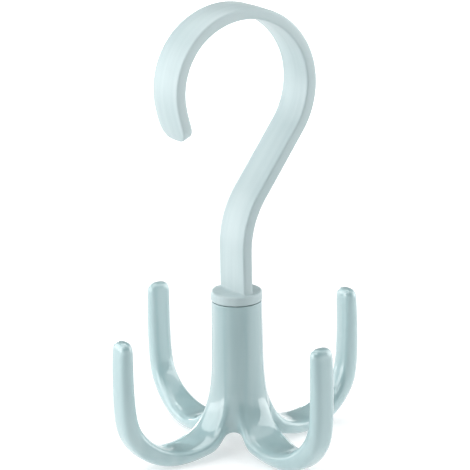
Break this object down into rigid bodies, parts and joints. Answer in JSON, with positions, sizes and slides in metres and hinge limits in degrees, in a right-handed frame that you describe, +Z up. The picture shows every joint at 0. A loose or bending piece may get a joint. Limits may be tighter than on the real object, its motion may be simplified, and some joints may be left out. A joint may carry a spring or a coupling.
{
  "type": "rotating closet hook",
  "caption": "Moulded question-mark hook for a closet rod, with a swivelling stem below it that ends in upturned claws for bags, belts and scarves.",
  "frame": {"origin": "on the swivel axis, level with the undersides of the claws, on which the part can stand", "axes": "+Z up along the swivel axis to the hook; the hook lies in the XZ plane with its tip towards -X; at rest two claws point along +X and -X and two along +Y and -Y"},
  "size_m": [0.1116, 0.1116, 0.1732],
  "materials": {
    "moulded_plastic": "glossy, pale mint",
    "zinc_steel": "zinc plated"
  },
  "bodies": {
    "hook": {"rod_hook": "moulded_plastic", "pivot_screw": "zinc_steel", "pivot_washer": "zinc_steel"},
    "claws": {"claw_body": "moulded_plastic"}
  },
  "joints": [
    {"name": "swivel", "type": "hinge", "parent": "hook", "child": "claws", "pos_m": [0, 0, 0.05915], "axis": [0, 0, 1], "continuous": true}
  ]
}
